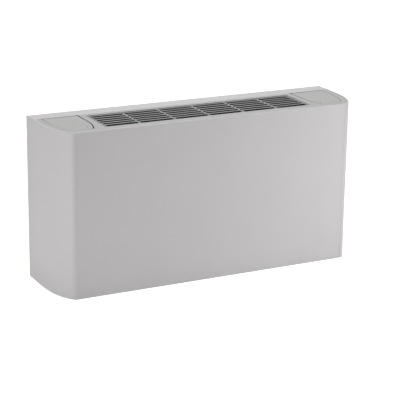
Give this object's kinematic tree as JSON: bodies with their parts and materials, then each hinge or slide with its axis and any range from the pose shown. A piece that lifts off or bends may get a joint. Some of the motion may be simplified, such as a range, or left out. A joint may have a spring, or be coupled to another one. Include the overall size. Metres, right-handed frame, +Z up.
{
  "type": "electric convector heater",
  "caption": "Bow-sided fan convector heater cabinet with a long top outlet grille, hinged end flaps over the controls, and finned elements above blowers.",
  "frame": {"origin": "centre of the cabinet base, at its lowest plane", "axes": "+X to the right seen from the room, +Y towards the wall behind, +Z up"},
  "size_m": [0.98, 0.248, 0.49],
  "materials": {
    "cabinet_paint": "satin silver grey paint",
    "cover_moulding": "satin silver grey moulding",
    "grille_moulding": "satin grey moulding",
    "well_moulding": "satin grey moulding",
    "foam": "matt foam",
    "galvanised": "zinc coated",
    "fan_aluminium": "mill finish",
    "bright_steel": "bright",
    "winding": "varnished",
    "motor_paint": "satin",
    "bronze": "machined",
    "ceramic": "glazed",
    "black_plastic": "fine texture",
    "knob_plastic": "satin",
    "lamp_lens": "clear moulded",
    "reset_plastic": "gloss",
    "stud_plastic": "satin",
    "filter_medium": "woven",
    "element_sheath": "oxidised"
  },
  "bodies": {
    "cabinet": {"back_plate": "galvanised", "cable_gland": "black_plastic", "control_well": "well_moulding", "duct_front_wall": "galvanised", "duct_rear_wall": "galvanised", "element_insulators": "ceramic", "fan_deck": "galvanised", "filter_clips": "bright_steel", "front_insulation": "foam", "front_panel": "cabinet_paint", "grille_screws": "bright_steel", "heating_element_1": "element_sheath", "heating_element_2": "element_sheath", "heating_element_3": "element_sheath", "inlet_frame": "galvanised", "left_catch_clip": "bright_steel", "left_cheek": "galvanised", "left_fan_scroll": "galvanised", "left_side_panel": "cabinet_paint", "left_side_panel_screws": "bright_steel", "motor_bearings": "bronze", "motor_bracket": "galvanised", "motor_case": "motor_paint", "motor_stator": "winding", "outlet_grille": "grille_moulding", "overheat_cutout": "black_plastic", "power_lamp": "lamp_lens", "power_relay": "black_plastic", "rear_strip": "cabinet_paint", "right_catch_clip": "bright_steel", "right_cheek": "galvanised", "right_fan_scroll": "galvanised", "right_side_panel": "cabinet_paint", "right_side_panel_screws": "bright_steel", "service_well": "well_moulding", "speed_selector": "black_plastic", "switch_housing": "black_plastic", "terminal_block": "ceramic", "thermostat_body": "black_plastic", "top_cover": "cover_moulding"},
    "left_flap": {"left_flap": "cover_moulding", "left_flap_pins": "bright_steel", "left_flap_stud": "stud_plastic"},
    "right_flap": {"right_flap": "cover_moulding", "right_flap_pins": "bright_steel", "right_flap_stud": "stud_plastic"},
    "thermostat_knob": {"thermostat_knob": "knob_plastic"},
    "speed_knob": {"speed_knob": "knob_plastic"},
    "power_rocker": {"power_rocker": "black_plastic"},
    "reset_button": {"reset_button": "reset_plastic"},
    "fan_rotor": {"fan_shaft": "bright_steel", "motor_rotor": "bright_steel", "left_fan_wheel": "fan_aluminium", "right_fan_wheel": "fan_aluminium"},
    "filter": {"filter_frame": "black_plastic", "filter_meshes": "filter_medium"}
  },
  "joints": [
    {"name": "left_flap_hinge", "type": "hinge", "parent": "cabinet", "child": "left_flap", "pos_m": [-0.404, 0.063, 0.484], "axis": [-1, 0, 0], "range_deg": [0, 95]},
    {"name": "right_flap_hinge", "type": "hinge", "parent": "cabinet", "child": "right_flap", "pos_m": [0.404, 0.063, 0.484], "axis": [-1, 0, 0], "range_deg": [0, 95]},
    {"name": "thermostat_turn", "type": "hinge", "parent": "cabinet", "child": "thermostat_knob", "pos_m": [-0.406, 0.026, 0.4487], "axis": [0, 0, -1], "range_deg": [0, 270]},
    {"name": "speed_turn", "type": "hinge", "parent": "cabinet", "child": "speed_knob", "pos_m": [-0.406, -0.018, 0.4487], "axis": [0, 0, -1], "range_deg": [0, 135]},
    {"name": "power_rock", "type": "hinge", "parent": "cabinet", "child": "power_rocker", "pos_m": [-0.406, -0.056, 0.4487], "axis": [0, -1, 0], "range_deg": [0, 18]},
    {"name": "reset_press", "type": "slide", "parent": "cabinet", "child": "reset_button", "axis": [0, 0, -1], "range_m": [0, 0.002], "stiffness_N_per_m": 400},
    {"name": "fan_spin", "type": "hinge", "parent": "cabinet", "child": "fan_rotor", "pos_m": [0, 0.026, 0.124], "axis": [1, 0, 0], "continuous": true},
    {"name": "filter_draw", "type": "slide", "parent": "cabinet", "child": "filter", "axis": [0, 0, -1], "range_m": [0, 0.05]}
  ]
}
